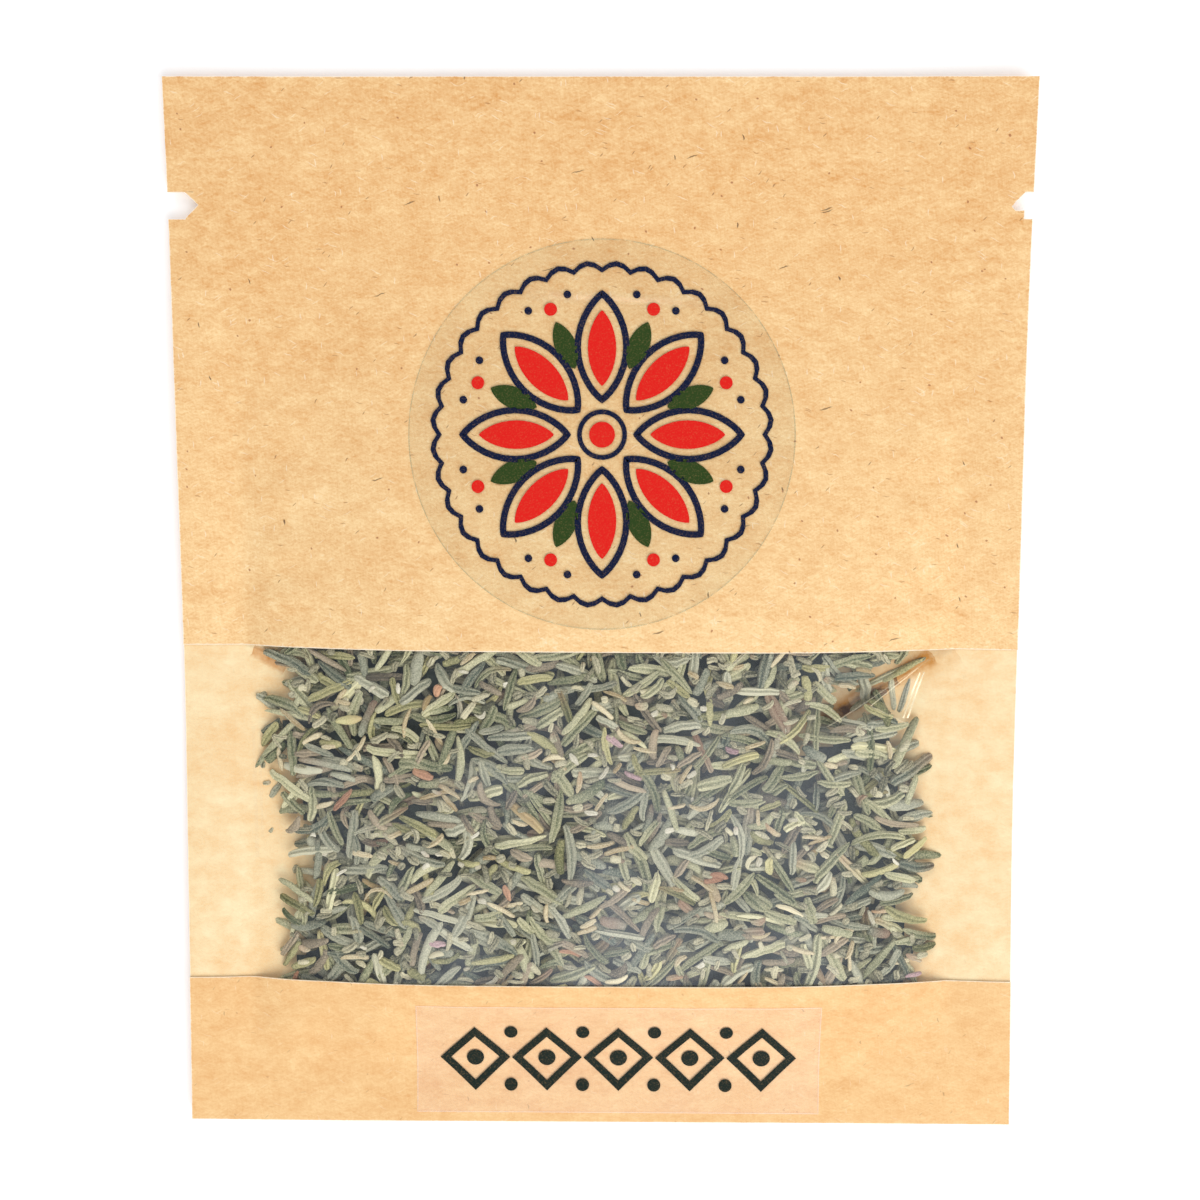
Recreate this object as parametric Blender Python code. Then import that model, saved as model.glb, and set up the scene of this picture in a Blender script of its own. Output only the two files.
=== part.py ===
"""Kraft-paper herb sachet with a full-width clear window, filled with dried thyme, lying on its back.

The sachet is two webs heat-sealed together round the rim. The back web is one sheet of
paper laminate. The front web is a clear film with two kraft strips laminated on it, and the
gap between the strips is the window. A round label and an oblong label are stuck on the
strips. The loose leaves fill the space between the webs.

Metres, +Z up. The back lies on Z = 0, +Y points to the top edge with the tear notches,
and the origin is the middle of the bounding box's underside.
"""

import math
import random

import bmesh
import bpy
from mathutils import Euler, Matrix, Vector

MM = 0.001

# Outline of the sachet
WIDTH = 100 * MM
HEIGHT = 125 * MM
HALF_WIDTH = WIDTH / 2
TOP = HEIGHT / 2
BOTTOM = -HEIGHT / 2
WAIST = 0.6 * MM  # how far the fill pulls each long edge in at mid height
SKEW = 0.006  # the strips run down to the right by this slope

# Heat seals round the rim
SIDE_SEAL = 8 * MM
BOTTOM_SEAL = 8 * MM
TOP_SEAL = 10 * MM
CHAMBER_HALF = HALF_WIDTH - SIDE_SEAL
CHAMBER_FOOT = BOTTOM + BOTTOM_SEAL
CHAMBER_HEAD = TOP - TOP_SEAL

# The window between the two kraft strips
WINDOW_LOW = -44.4 * MM
WINDOW_HIGH = -3.7 * MM

# Tear notches: a slot that ends in a point, punched deeper on the left
NOTCH_Y = 48.0 * MM
NOTCH_HEIGHT = 3.05 * MM
NOTCH_POINT = 1.7 * MM
NOTCH_DEPTHS = {-1: 3.6 * MM, 1: 2.3 * MM}

# Sheets. Each lies a hair above the one below, measured straight up
PAPER = 0.25 * MM
FILM = 0.20 * MM
LABEL = 0.15 * MM
PLY_GAP = 0.10 * MM

# How the fill swells the chamber: full over the window, and running out towards the top
SWELL = 5.6 * MM
SHOULDER_POWER = 4.0
FOOT_RISE = 20 * MM
HEAD_FALL_FROM = -12 * MM
HEAD_FALL_TO = 50 * MM

# The flat on the table, and how the rim lifts from it
REST_HALF = 30 * MM
REST_FOOT = -46 * MM
REST_HEAD = 30 * MM
RIM_LIFT = 1.4 * MM
HEAD_LIFT = 0.8  # as a share of the rim's lift
RIM_WAVE = 0.25 * MM
RIM_WAVE_LENGTH = 58 * MM
RIM_WAVE_PHASE = 0.9

# Labels
ROUND_LABEL_CENTRE = (0.2 * MM, 21.8 * MM)
ROUND_LABEL_RADIUS = 22.5 * MM
ROUND_LABEL_SIDES = 56
OBLONG_LABEL_CENTRE = (2.2 * MM, -54.0 * MM)
OBLONG_LABEL_SIZE = (49.0 * MM, 14.0 * MM)
OBLONG_LABEL_TURN = math.radians(-0.4)

# The core of the fill. Its corners are drawn in by these shares of its size
CORE_HALF = 38.6 * MM
CORE_FOOT = -51.5 * MM
CORE_HEAD = 20 * MM
CORE_STEPS = (14, 12)
CORE_SIDE_BOW = 0.06
CORE_END_BOW = 0.08
CORE_LEAST = 0.15 * MM
FLOOR_ROOM = 0.35 * MM
CEILING_ROOM = 0.45 * MM

# The leaves that stand out of the core where the window shows it
LEAF_STAND = 0.75 * MM
LEAF_STAND_SHARE = 0.6  # of the room, where the sachet is too thin for the whole stand
LEAF_PITCH = 3.8 * MM
LEAF_JITTER = (0.15, 0.85)
LEAF_BORDER = 1.5 * MM
LEAF_SIDE_ROOM = 2.2 * MM
LEAF_FLOOR_ROOM = 0.05 * MM
LEAF_LENGTHS = (7.0 * MM, 9.8 * MM)
LEAF_WIDTHS = (2.0 * MM, 2.8 * MM)
LEAF_THICKNESS = 1.15 * MM
LEAF_SHANK = 0.45  # the straight middle, as a share of the length
LEAF_SINK = 0.35 * MM
LEAF_TILT = math.radians(4)
STEM_EVERY = 11
STEM_SIZE = (0.8, 0.5)  # a stem's length and width, as shares of a leaf's
FILL_SEED = 11

# Grid lines that every sheet shares, as (from, to, number of steps)
COLUMNS = [
    (-HALF_WIDTH, -CHAMBER_HALF, 2),
    (-CHAMBER_HALF, CHAMBER_HALF, 14),
    (CHAMBER_HALF, HALF_WIDTH, 2),
]
ROWS_BELOW = [(BOTTOM, CHAMBER_FOOT, 2), (CHAMBER_FOOT, WINDOW_LOW, 3)]
ROWS_WINDOW = [(WINDOW_LOW, WINDOW_HIGH, 8)]
ROWS_ABOVE = [(WINDOW_HIGH, CHAMBER_HEAD, 9), (CHAMBER_HEAD, TOP, 2)]

CUTTER_REACH = 30 * MM
SMOOTH_BELOW = math.radians(40)

# Heights of the undersides of the plies above the back's underside, without the swell
FILM_LEVEL = PAPER + PLY_GAP
STRIP_LEVEL = FILM_LEVEL + FILM + PLY_GAP
LABEL_LEVEL = STRIP_LEVEL + PAPER + PLY_GAP


def ease(t):
    """Goes smoothly from 0 at t = 0 to 1 at t = 1."""
    t = min(max(t, 0.0), 1.0)
    return t * t * (3 - 2 * t)


def table_lift(x, y):
    """Height of the back's underside: flat on the table, and lifting towards the rim."""
    side = ease((abs(x) - REST_HALF) / (HALF_WIDTH - REST_HALF))
    foot = ease((REST_FOOT - y) / (REST_FOOT - BOTTOM))
    head = HEAD_LIFT * ease((y - REST_HEAD) / (TOP - REST_HEAD))
    rim = 1 - (1 - side) * (1 - foot) * (1 - head)
    phase = math.copysign(RIM_WAVE_PHASE, x)
    wave = side * math.sin(math.tau * y / RIM_WAVE_LENGTH + phase)
    return RIM_LIFT * rim + RIM_WAVE * wave


def swell(x, y):
    """How far the fill holds the front web up from the back web."""
    across = max(0.0, 1 - (abs(x) / CHAMBER_HALF) ** SHOULDER_POWER)
    foot = 1 - (1 - min(max((y - CHAMBER_FOOT) / FOOT_RISE, 0.0), 1.0)) ** 2
    head = 1 - ease((y - HEAD_FALL_FROM) / (HEAD_FALL_TO - HEAD_FALL_FROM))
    return SWELL * across * foot * head


def on_sachet(x, y):
    """Where a point of the straight grid lies once the edges are drawn in and askew."""
    waist = 1 - (WAIST / HALF_WIDTH) * (1 - (y / TOP) ** 2)
    fade = min(1.0, (TOP - y) / (TOP - WINDOW_HIGH))
    return x * waist, y + SKEW * fade * (HALF_WIDTH - x)


def stations(spans):
    """The grid lines of a list of (from, to, steps)."""
    lines = [spans[0][0]]
    for start, end, steps in spans:
        lines += [start + (end - start) * (i + 1) / steps for i in range(steps)]
    return lines


def material(name, colour, roughness, alpha=1.0):
    made = bpy.data.materials.new(name)
    made.use_nodes = True
    shader = made.node_tree.nodes["Principled BSDF"]
    shader.inputs["Base Color"].default_value = (*colour, 1.0)
    shader.inputs["Roughness"].default_value = roughness
    shader.inputs["Metallic"].default_value = 0.0
    shader.inputs["Alpha"].default_value = alpha
    return made


def add_object(name, mesh, collection, finish=None):
    obj = bpy.data.objects.new(name, mesh)
    if finish:
        mesh.materials.append(finish)
    collection.objects.link(obj)
    return obj


def mesh_from(bm, name):
    bmesh.ops.recalc_face_normals(bm, faces=bm.faces)
    mesh = bpy.data.meshes.new(name)
    bm.to_mesh(mesh)
    bm.free()
    return mesh


def raise_faces(bm, faces, height):
    """Extrudes faces straight up into a closed solid."""
    raised = bmesh.ops.extrude_face_region(bm, geom=faces)["geom"]
    tops = [part for part in raised if isinstance(part, bmesh.types.BMVert)]
    bmesh.ops.translate(bm, verts=tops, vec=(0, 0, height))
    return tops


def sheet(name, rows, level, thickness, swollen, collection, finish):
    """A ply of the sachet: the shared grid, raised to its height and thickened straight up.

    The grid is cut into triangles first, alike in every ply, so stacked plies never cross.
    """
    xs, ys = stations(COLUMNS), stations(rows)
    steps_x, steps_y = len(xs) - 1, len(ys) - 1
    bm = bmesh.new()
    bmesh.ops.create_grid(bm, x_segments=steps_x, y_segments=steps_y, size=0.5)
    bmesh.ops.triangulate(bm, faces=bm.faces, quad_method="FIXED")
    for vert in bm.verts:
        x = xs[round((vert.co.x + 0.5) * steps_x)]
        y = ys[round((vert.co.y + 0.5) * steps_y)]
        height = table_lift(x, y) + level + (swell(x, y) if swollen else 0.0)
        vert.co = (*on_sachet(x, y), height)
    raise_faces(bm, bm.faces[:], thickness)
    obj = add_object(name, mesh_from(bm, name), collection, finish)
    obj.data.shade_smooth()
    obj.data.set_sharp_from_angle(angle=SMOOTH_BELOW)
    return obj


def hide_cutter(obj):
    obj.hide_render = True
    obj.display_type = "WIRE"
    return obj


def notch_cutter(side, cutters):
    """An upright prism whose plan is the notch: a slot with a pointed inner end."""
    edge, _ = on_sachet(HALF_WIDTH, NOTCH_Y)
    tip = edge - NOTCH_DEPTHS[side]
    half = NOTCH_HEIGHT / 2
    plan = [
        (edge + CUTTER_REACH, -half),
        (tip + NOTCH_POINT, -half),
        (tip, 0),
        (tip + NOTCH_POINT, half),
        (edge + CUTTER_REACH, half),
    ]
    bm = bmesh.new()
    corners = [bm.verts.new((side * x, NOTCH_Y + y, -CUTTER_REACH)) for x, y in plan]
    raise_faces(bm, [bm.faces.new(corners)], 2 * CUTTER_REACH)
    name = "notch_left" if side < 0 else "notch_right"
    return hide_cutter(add_object(name, mesh_from(bm, name), cutters))


def boolean(obj, operation, cutter):
    modifier = obj.modifiers.new(cutter.name, "BOOLEAN")
    modifier.operation = operation
    modifier.solver = "EXACT"
    modifier.object = cutter


def round_outline(cutters):
    """An upright cylinder that trims the round label out of its ply."""
    bm = bmesh.new()
    bmesh.ops.create_cone(
        bm,
        cap_ends=True,
        segments=ROUND_LABEL_SIDES,
        radius1=ROUND_LABEL_RADIUS,
        radius2=ROUND_LABEL_RADIUS,
        depth=2 * CUTTER_REACH,
        matrix=Matrix.Translation((*ROUND_LABEL_CENTRE, 0)),
    )
    name = "round_label_outline"
    return hide_cutter(add_object(name, mesh_from(bm, name), cutters))


def oblong_outline(cutters):
    """An upright box, turned a little, that trims the oblong label out of its ply."""
    bm = bmesh.new()
    bmesh.ops.create_cube(bm, size=1.0)
    scale = Matrix.Diagonal((*OBLONG_LABEL_SIZE, 2 * CUTTER_REACH, 1.0))
    place = Matrix.Translation((*OBLONG_LABEL_CENTRE, 0))
    turn = Matrix.Rotation(OBLONG_LABEL_TURN, 4, "Z")
    bm.transform(place @ turn @ scale)
    name = "oblong_label_outline"
    return hide_cutter(add_object(name, mesh_from(bm, name), cutters))


def fill_floor(x, y):
    return table_lift(x, y) + PAPER + FLOOR_ROOM


def fill_ceiling(x, y):
    return table_lift(x, y) + FILM_LEVEL + swell(x, y) - CEILING_ROOM


def core_mesh():
    """The bulk of the fill, between the two webs, with its corners drawn in."""
    steps_x, steps_y = CORE_STEPS
    bm = bmesh.new()
    bmesh.ops.create_grid(bm, x_segments=steps_x, y_segments=steps_y, size=1.0)
    bmesh.ops.triangulate(bm, faces=bm.faces, quad_method="FIXED")
    middle = (CORE_HEAD + CORE_FOOT) / 2
    half_height = (CORE_HEAD - CORE_FOOT) / 2
    for vert in bm.verts:
        u, v = vert.co.x, vert.co.y
        x = CORE_HALF * u * (1 - CORE_SIDE_BOW * v * v)
        y = middle + half_height * v * (1 - CORE_END_BOW * u * u)
        vert.co = (x, y, fill_floor(x, y))
    for vert in raise_faces(bm, bm.faces[:], 0):
        x, y, low = vert.co
        room = fill_ceiling(x, y) - low
        stand = min(LEAF_STAND, LEAF_STAND_SHARE * room)
        vert.co.z = low + max(CORE_LEAST, room - stand)
    return mesh_from(bm, "leaf_fill")


def leaf_mesh(name, length, width, square_ended):
    """A rolled dry leaf, three-sided with its ridge up, or a bit of stem with square ends."""
    bm = bmesh.new()
    bmesh.ops.create_cone(
        bm,
        cap_ends=square_ended,
        segments=3,
        radius1=1.0,
        radius2=1.0,
        depth=1.0 if square_ended else LEAF_SHANK,
        matrix=Matrix.Rotation(-math.pi / 2, 4, "Y"),
    )
    if not square_ended:
        for end in (-1, 1):
            ring = [edge for edge in bm.edges if all(v.co.x * end > 0 for v in edge.verts)]
            tip = bmesh.ops.extrude_edge_only(bm, edges=ring)["geom"]
            points = [part for part in tip if isinstance(part, bmesh.types.BMVert)]
            bmesh.ops.pointmerge(bm, verts=points, merge_co=Vector((end / 2, 0, 0)))
    # The ridge comes to the height 0. A unit triangle is 1.5 high and the root of 3 wide
    bmesh.ops.translate(bm, verts=bm.verts, vec=(0, 0, -1))
    to_size = (length, width / math.sqrt(3), LEAF_THICKNESS / 1.5)
    bmesh.ops.scale(bm, verts=bm.verts, vec=to_size)
    return mesh_from(bm, name)


def leaf_places():
    """Seeded places on a jittered grid over what the window shows: (x, y, turn, length, width)."""
    draw = random.Random(FILL_SEED)
    low, high = WINDOW_LOW - LEAF_BORDER, WINDOW_HIGH + LEAF_BORDER
    reach = CORE_HALF - LEAF_SIDE_ROOM
    columns = round(2 * reach / LEAF_PITCH)
    rows = round((high - low) / LEAF_PITCH)
    for row in range(rows):
        for column in range(columns):
            x = -reach + 2 * reach * (column + draw.uniform(*LEAF_JITTER)) / columns
            y = low + (high - low) * (row + draw.uniform(*LEAF_JITTER)) / rows
            turn = draw.uniform(0, math.pi)
            yield x, y, turn, draw.uniform(*LEAF_LENGTHS), draw.uniform(*LEAF_WIDTHS)


def slope_turn(x, y):
    """The turn that lays something flat against the ceiling at this place."""
    step = 0.5 * MM
    rise_x = (fill_ceiling(x + step, y) - fill_ceiling(x - step, y)) / (2 * step)
    rise_y = (fill_ceiling(x, y + step) - fill_ceiling(x, y - step)) / (2 * step)
    normal = Vector((-rise_x, -rise_y, 1)).normalized()
    return Vector((0, 0, 1)).rotation_difference(normal).to_matrix().to_4x4()


def keep_between_webs(mesh):
    for vert in mesh.vertices:
        low = fill_floor(vert.co.x, vert.co.y) + LEAF_FLOOR_ROOM
        high = fill_ceiling(vert.co.x, vert.co.y)
        vert.co.z = max(low, min(vert.co.z, high))


def islands_of(bm):
    """The groups of faces that hang together by their edges."""
    unseen = set(bm.faces)
    while unseen:
        start = unseen.pop()
        island, frontier = [start], [start]
        while frontier:
            face = frontier.pop()
            beside = {other for edge in face.edges for other in edge.link_faces} & unseen
            unseen -= beside
            island += beside
            frontier += beside
        yield island


def keep_largest_island(mesh):
    """Fills the hollows that the leaves seal between them, and drops any loose scrap."""
    bm = bmesh.new()
    bm.from_mesh(mesh)
    _, *others = sorted(islands_of(bm), key=len, reverse=True)
    bmesh.ops.delete(bm, geom=[face for island in others for face in island], context="FACES")
    bm.to_mesh(mesh)
    bm.free()


def leaf_fill(collection, finish):
    """The core and every leaf, fused into one body."""
    fill = add_object("leaf_fill", core_mesh(), collection, finish)
    repeats = bpy.data.collections.new("leaf repeats")
    bpy.context.scene.collection.children.link(repeats)
    draw = random.Random(FILL_SEED + 1)
    for index, (x, y, turn, length, width) in enumerate(leaf_places()):
        stem = index % STEM_EVERY == STEM_EVERY // 2
        shorter, slimmer = STEM_SIZE if stem else (1, 1)
        mesh = leaf_mesh(f"leaf_{index}", length * shorter, width * slimmer, stem)
        sink = draw.uniform(0, LEAF_SINK)
        tilt = Euler((0, draw.uniform(-LEAF_TILT, LEAF_TILT), turn)).to_matrix().to_4x4()
        place = Matrix.Translation((x, y, fill_ceiling(x, y) - sink))
        mesh.transform(place @ slope_turn(x, y) @ tilt)
        keep_between_webs(mesh)
        add_object(mesh.name, mesh, repeats)
    modifier = fill.modifiers.new("leaves", "BOOLEAN")
    modifier.operation = "UNION"
    modifier.solver = "MANIFOLD"
    modifier.operand_type = "COLLECTION"
    modifier.collection = repeats
    graph = bpy.context.evaluated_depsgraph_get()
    fused = bpy.data.meshes.new_from_object(fill.evaluated_get(graph))
    keep_largest_island(fused)
    fill.modifiers.clear()
    fill.data = fused
    for obj in list(repeats.objects):
        bpy.data.objects.remove(obj)
    bpy.data.collections.remove(repeats)


def main():
    for obj in list(bpy.data.objects):
        bpy.data.objects.remove(obj)
    sachet = bpy.data.collections.new("herb sachet")
    cutters = bpy.data.collections.new("cutters")
    for collection in (sachet, cutters):
        bpy.context.scene.collection.children.link(collection)

    kraft = material("kraft paper", (0.90, 0.58, 0.28), 0.75)
    back_kraft = material("kraft paper back", (0.88, 0.58, 0.29), 0.75)
    lower_kraft = material("kraft paper lower strip", (0.93, 0.60, 0.30), 0.75)
    film = material("clear film", (0.92, 0.94, 0.95), 0.12, alpha=0.25)
    round_vinyl = material("clear round label", (0.85, 0.62, 0.36), 0.25, alpha=0.6)
    oblong_vinyl = material("clear oblong label", (0.90, 0.66, 0.38), 0.3, alpha=0.6)
    thyme = material("dried thyme", (0.24, 0.26, 0.16), 0.85)

    whole = ROWS_BELOW + ROWS_WINDOW + ROWS_ABOVE
    back = sheet("back_panel", whole, 0.0, PAPER, False, sachet, back_kraft)
    front = sheet("front_film", whole, FILM_LEVEL, FILM, True, sachet, film)
    upper = sheet("front_upper_strip", ROWS_ABOVE, STRIP_LEVEL, PAPER, True, sachet, kraft)
    sheet("front_lower_strip", ROWS_BELOW, STRIP_LEVEL, PAPER, True, sachet, lower_kraft)
    for side in NOTCH_DEPTHS:
        cutter = notch_cutter(side, cutters)
        for ply in (back, front, upper):
            boolean(ply, "DIFFERENCE", cutter)

    outlines = [
        ("round_label", ROWS_ABOVE, round_vinyl, round_outline(cutters)),
        ("oblong_label", ROWS_BELOW, oblong_vinyl, oblong_outline(cutters)),
    ]
    for name, rows, vinyl, outline in outlines:
        label = sheet(name, rows, LABEL_LEVEL, LABEL, True, sachet, vinyl)
        boolean(label, "INTERSECT", outline)

    leaf_fill(sachet, thyme)


main()
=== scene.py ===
"""Kraft-paper sachet of dried thyme, lying on its back and seen through its clear window."""

import math

import bmesh
import bpy
import numpy as np
from mathutils import Matrix, Vector


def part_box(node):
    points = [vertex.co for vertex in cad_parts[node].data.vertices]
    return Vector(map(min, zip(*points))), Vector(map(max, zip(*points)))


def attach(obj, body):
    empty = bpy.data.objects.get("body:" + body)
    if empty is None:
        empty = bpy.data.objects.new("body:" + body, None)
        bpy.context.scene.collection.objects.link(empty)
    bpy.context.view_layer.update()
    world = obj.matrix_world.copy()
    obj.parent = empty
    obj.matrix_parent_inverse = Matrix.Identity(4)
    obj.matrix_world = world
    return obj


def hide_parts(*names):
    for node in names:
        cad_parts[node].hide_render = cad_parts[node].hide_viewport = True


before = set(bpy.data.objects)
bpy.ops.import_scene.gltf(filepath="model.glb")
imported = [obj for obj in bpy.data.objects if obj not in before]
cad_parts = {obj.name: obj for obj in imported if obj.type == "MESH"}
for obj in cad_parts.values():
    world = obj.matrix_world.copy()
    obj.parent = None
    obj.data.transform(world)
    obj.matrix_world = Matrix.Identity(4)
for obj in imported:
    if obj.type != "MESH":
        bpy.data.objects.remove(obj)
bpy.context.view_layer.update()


# The back web: one sheet of kraft paper lined with sealing film, cut to 100 x 125 mm with a
# tear notch punched in each long edge. It lies flat on the table under the fill, and the rim,
# which the heat seals stiffen, lifts a little way off it.
MM = 0.001
back_low, back_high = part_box("back_panel")
HALF_WIDTH, BOTTOM, TOP = back_high.x, back_low.y, back_high.y
SEAL = 8 * MM
CHAMBER_HALF = HALF_WIDTH - SEAL
CHAMBER_FOOT = BOTTOM + SEAL
WINDOW_LOW, WINDOW_HIGH = -44.4 * MM, -3.7 * MM
WAIST = 0.6 * MM  # how far each long edge is drawn in at half height
SKEW = 0.006  # slope of the window's edges
PAPER = 0.20 * MM
HAIR = 0.01 * MM  # air between layers that lie on each other
PAPER_STEP = 1.0 * MM
# Where the back stops lying flat, and over what length it then lifts: sides, foot and head
FLAT_SIDE, SIDE_RUN = 30 * MM, 20 * MM
FLAT_FOOT, FOOT_RUN = -46 * MM, 16.5 * MM
FLAT_HEAD, HEAD_RUN, HEAD_SHARE = 30 * MM, 32.5 * MM, 0.8
RIM_LIFT = 1.4 * MM
RIM_WAVE, RIM_WAVE_LENGTH, RIM_WAVE_START = 0.25 * MM, 58 * MM, 0.9
NOTCH_Y = 48.0 * MM
NOTCH_HALF_HEIGHT = 1.52 * MM
NOTCH_POINT = 1.7 * MM
NOTCH_DEPTHS = {-1: 3.6 * MM, 1: 2.3 * MM}
NOTCH_ROOM_X, NOTCH_ROOM_Y = 1.5 * MM, 4 * MM  # round a notch, where its cuts reach
SHARP = math.radians(50)


def ease(t):
    """Goes smoothly from 0 at t = 0 to 1 at t = 1."""
    t = np.clip(t, 0.0, 1.0)
    return t * t * (3 - 2 * t)


def table_lift(x, y):
    """Height of the back's underside: flat on the table, and lifting towards the rim."""
    side = ease((np.abs(x) - FLAT_SIDE) / SIDE_RUN)
    foot = ease((FLAT_FOOT - y) / FOOT_RUN)
    head = HEAD_SHARE * ease((y - FLAT_HEAD) / HEAD_RUN)
    rim = 1 - (1 - side) * (1 - foot) * (1 - head)
    wave = side * np.sin(math.tau * y / RIM_WAVE_LENGTH + np.copysign(RIM_WAVE_START, x))
    return RIM_LIFT * rim + RIM_WAVE * wave


def cut_notch(bm, side):
    """Cuts a slot with a pointed inner end into one long edge of a flat web."""
    tip = HALF_WIDTH - WAIST * (1 - (NOTCH_Y / TOP) ** 2) - NOTCH_DEPTHS[side]
    half, point = NOTCH_HALF_HEIGHT, NOTCH_POINT
    for up in (-1, 1):
        lines = [
            ((tip + point, NOTCH_Y + up * half), (0, 1)),
            ((tip, NOTCH_Y), (half, -up * point)),
        ]
        for (x, y), (across_x, across_y) in lines:
            near = [f for f in bm.faces if is_near_notch(f, side, tip)]
            edges = {edge for face in near for edge in face.edges}
            verts = {vert for face in near for vert in face.verts}
            bmesh.ops.bisect_plane(
                bm,
                geom=near + list(edges) + list(verts),
                dist=0.001 * MM,
                plane_co=(side * x, y, 0),
                plane_no=(side * across_x, across_y, 0),
            )
    inside = []
    for face in bm.faces:
        middle = face.calc_center_median()
        depth = side * middle.x - tip
        if depth > 0 and abs(middle.y - NOTCH_Y) < min(half, depth * half / point):
            inside.append(face)
    bmesh.ops.delete(bm, geom=inside, context="FACES")


def is_near_notch(face, side, tip):
    """Whether a notch's cuts may reach a face. The rest of the web stays uncut."""
    middle = face.calc_center_median()
    return side * middle.x > tip - NOTCH_ROOM_X and abs(middle.y - NOTCH_Y) < NOTCH_ROOM_Y


def flat_web(low, high, step, notched):
    """A flat grid between two heights of the sachet, drawn in at the waist and a little askew."""
    bm = bmesh.new()
    columns = round(2 * HALF_WIDTH / step)
    rows = round((high - low) / step)
    bmesh.ops.create_grid(bm, x_segments=columns, y_segments=rows, size=0.5)
    for vert in bm.verts:
        x = 2 * HALF_WIDTH * vert.co.x
        y = low + (vert.co.y + 0.5) * (high - low)
        waist = 1 - (WAIST / HALF_WIDTH) * (1 - (y / TOP) ** 2)
        fade = min(1.0, (TOP - y) / (TOP - WINDOW_HIGH))
        vert.co = (x * waist, y + SKEW * fade * (HALF_WIDTH - x), 0)
    for side in NOTCH_DEPTHS if notched else ():
        cut_notch(bm, side)
    return bm


def lay(bm, underside, thickness, rim=0.0):
    """Thickens a flat cutting straight up and lays it on a surface. Marks the rim of its edge
    and its upper face."""
    if rim:
        bmesh.ops.inset_region(bm, faces=bm.faces[:], thickness=rim, use_boundary=True)
    cut = bm.verts.layers.float.new("cut")
    upper = bm.verts.layers.float.new("upper")
    for vert in bm.verts:
        vert[cut] = 1.0 if vert.is_boundary else 0.0
    bottoms = bm.verts[:]
    raised = bmesh.ops.extrude_face_region(bm, geom=bm.faces[:])["geom"]
    tops = [part for part in raised if isinstance(part, bmesh.types.BMVert)]
    for vert in tops:
        vert[upper] = 1.0
    for verts, rise in ((bottoms, 0.0), (tops, thickness)):
        x = np.array([vert.co.x for vert in verts])
        y = np.array([vert.co.y for vert in verts])
        for vert, z in zip(verts, underside(x, y) + rise):
            vert.co.z = z
    bmesh.ops.recalc_face_normals(bm, faces=bm.faces)


def add_piece(name, bm, finish, slot, *replaced):
    """Makes the piece, smooth but for its cut edges, and lets it ride on the sachet."""
    mesh = bpy.data.meshes.new(name)
    bm.to_mesh(mesh)
    bm.free()
    mesh.shade_smooth()
    mesh.set_sharp_from_angle(angle=SHARP)
    mesh.materials.append(finish)
    piece = bpy.data.objects.new(name, mesh)
    bpy.context.scene.collection.objects.link(piece)
    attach(piece, "root")
    if replaced:
        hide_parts(*replaced)
    return piece


def srgb(code):
    """The linear colour of an sRGB hex value."""
    values = [int(code[i : i + 2], 16) / 255 for i in (1, 3, 5)]
    return (*(v / 12.92 if v < 0.04045 else ((v + 0.055) / 1.055) ** 2.4 for v in values), 1.0)


def new_finish(name):
    """A new material and its shader."""
    finish = bpy.data.materials.new(name)
    finish.use_nodes = True
    return finish, finish.node_tree.nodes["Principled BSDF"]


def feed(finish, socket, value):
    """Gives a socket its value, or links it to the socket that the value comes from."""
    if isinstance(value, bpy.types.NodeSocket):
        finish.node_tree.links.new(value, socket)
    else:
        socket.default_value = value


def node(finish, kind, inputs, **settings):
    """Adds a node. Each input is a value, or the socket that it comes from."""
    made = finish.node_tree.nodes.new("ShaderNode" + kind)
    for name, value in settings.items():
        setattr(made, name, value)
    for name, value in inputs.items():
        feed(finish, made.inputs[name], value)
    return made


def in_millimetres(finish):
    """Object coordinates in millimetres, so that a pattern's scale is one over its real size."""
    place = node(finish, "TexCoord", {}).outputs["Object"]
    return node(finish, "VectorMath", {0: place, 1: (1000, 1000, 1000)}, operation="MULTIPLY").outputs[0]


# What the pulp's tone is made of: turn in degrees, length and width in mm of its grains, weight.
# Clouds and blots of uneven pulp come first, then fibres, most of them along the machine's run.
# Fibres are drawn 0.2 mm wide, several times their real width, so that they show
GRAINS = [
    (0, 16.0, 10.0, 0.35),
    (0, 3.2, 2.3, 0.66),
    (0, 1.5, 1.15, 0.36),
    (3, 2.2, 0.22, 0.60),
    (27, 1.3, 0.19, 0.66),
    (-24, 1.3, 0.19, 0.66),
    (80, 1.0, 0.19, 0.54),
    (0, 0.30, 0.26, 0.68),
]
# Single fibres and specks of bark that show: turn, length, width, share of the places that
# hold one, colour and strength
FLECKS = [
    (8, 0.9, 0.14, 0.04, "#a5672f", 0.60),
    (-48, 0.7, 0.15, 0.025, "#8a5a30", 0.65),
    (74, 0.8, 0.20, 0.009, "#593a1c", 0.85),
    (-17, 1.7, 0.19, 0.005, "#63431f", 0.75),
    (40, 0.34, 0.30, 0.020, "#a0592a", 0.75),
    (24, 1.5, 0.14, 0.10, "#ffefcf", 0.42),
    (-31, 1.2, 0.14, 0.10, "#ffedc8", 0.40),
    (86, 0.9, 0.15, 0.06, "#fff2d8", 0.45),
]
FLECK_PART = 0.13  # of its cell that a fleck's half length takes
CUT_RIM = 0.17 * MM
OUTER_SHADE, OUTER_LIGHT = "#dd9f5a", "#fbd79e"
# The cut edge's lighter core, with a painted highlight
EDGE_CORE_AND_HIGHLIGHT_TINT = "#fff1da"
WANDER = 0.6  # mm that a fibre strays from a straight line
# Painted light: heights between which a sheet is painted lighter towards the window
PAINTED_LIGHT_FROM, PAINTED_LIGHT_TO = 45.0, -4.0  # heights in mm between which a sheet gets paler


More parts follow.
